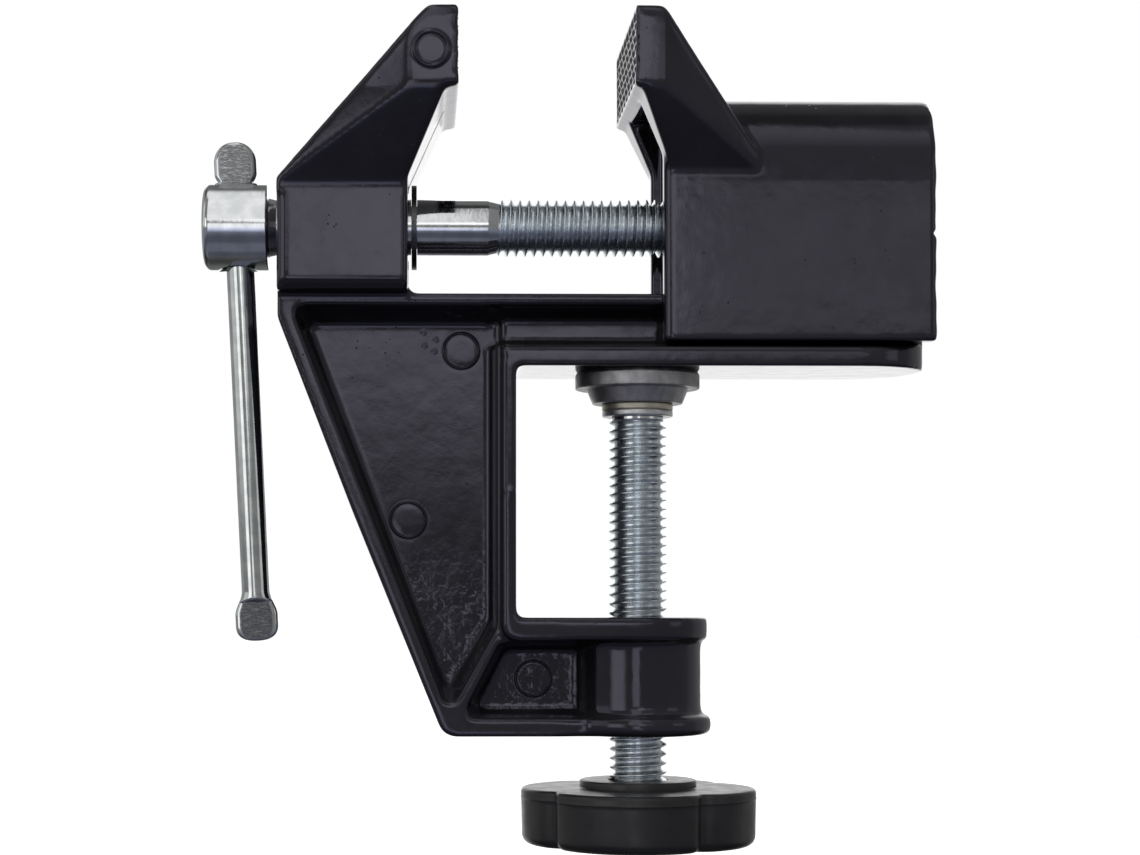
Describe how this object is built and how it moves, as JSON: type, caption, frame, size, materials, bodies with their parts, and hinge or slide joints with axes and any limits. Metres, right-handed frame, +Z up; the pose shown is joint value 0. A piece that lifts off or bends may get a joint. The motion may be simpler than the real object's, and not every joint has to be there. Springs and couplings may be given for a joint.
{
  "type": "mini bench vise",
  "caption": "Small cast bench vise with serrated jaws, a screw turned by a sliding bar, and a clamp with a swivel pad and lobed knob that grips a table edge.",
  "frame": {"origin": "where the clamp screw's axis meets the guide's underside, which rests on the bench top", "axes": "+X from the handle to the moving jaw along the main screw, +Y across the jaws, +Z up along the clamp screw"},
  "size_m": [0.0997, 0.0326, 0.1134],
  "materials": {
    "black_paint": "gloss black enamel over a casting",
    "zinc_plate": "bright zinc plate",
    "black_steel": "black oxide",
    "grey_steel": "turned, dull grey",
    "brassy_washer": "dull, slightly yellow plate",
    "black_plastic": "satin moulded"
  },
  "bodies": {
    "frame": {"frame": "black_paint"},
    "screw": {"main_screw": "zinc_plate", "retaining_clip": "black_steel"},
    "bar": {"tommy_bar": "zinc_plate"},
    "jaw": {"moving_jaw": "black_paint"},
    "pad": {"swivel_pad": "grey_steel"},
    "clamp": {"clamp_screw": "zinc_plate", "thrust_ring": "brassy_washer", "thrust_washer": "zinc_plate", "clamp_knob": "black_plastic"}
  },
  "joints": [
    {"name": "main_screw_turn", "type": "hinge", "parent": "frame", "child": "screw", "pos_m": [-0.04, 0, 0.02005], "axis": [1, 0, 0], "range_deg": [-1873, 6683]},
    {"name": "jaw_slide", "type": "slide", "parent": "frame", "child": "jaw", "axis": [1, 0, 0], "range_m": [-0.0232, 0.0065]},
    {"name": "bar_slide", "type": "slide", "parent": "screw", "child": "bar", "axis": [-0.0491, 0, 0.9988], "range_m": [0, 0.045]},
    {"name": "clamp_slide", "type": "slide", "parent": "frame", "child": "pad", "axis": [0, 0, -1], "range_m": [0, 0.027]},
    {"name": "clamp_turn", "type": "hinge", "parent": "pad", "child": "clamp", "pos_m": [0, 0, -0.02], "axis": [0, 0, -1], "range_deg": [0, 7778]}
  ],
  "couplings": [
    {"joint": "main_screw_turn", "follows": "jaw_slide", "rad_per_m": -5026.5},
    {"joint": "clamp_turn", "follows": "clamp_slide", "rad_per_m": 5026.5}
  ]
}
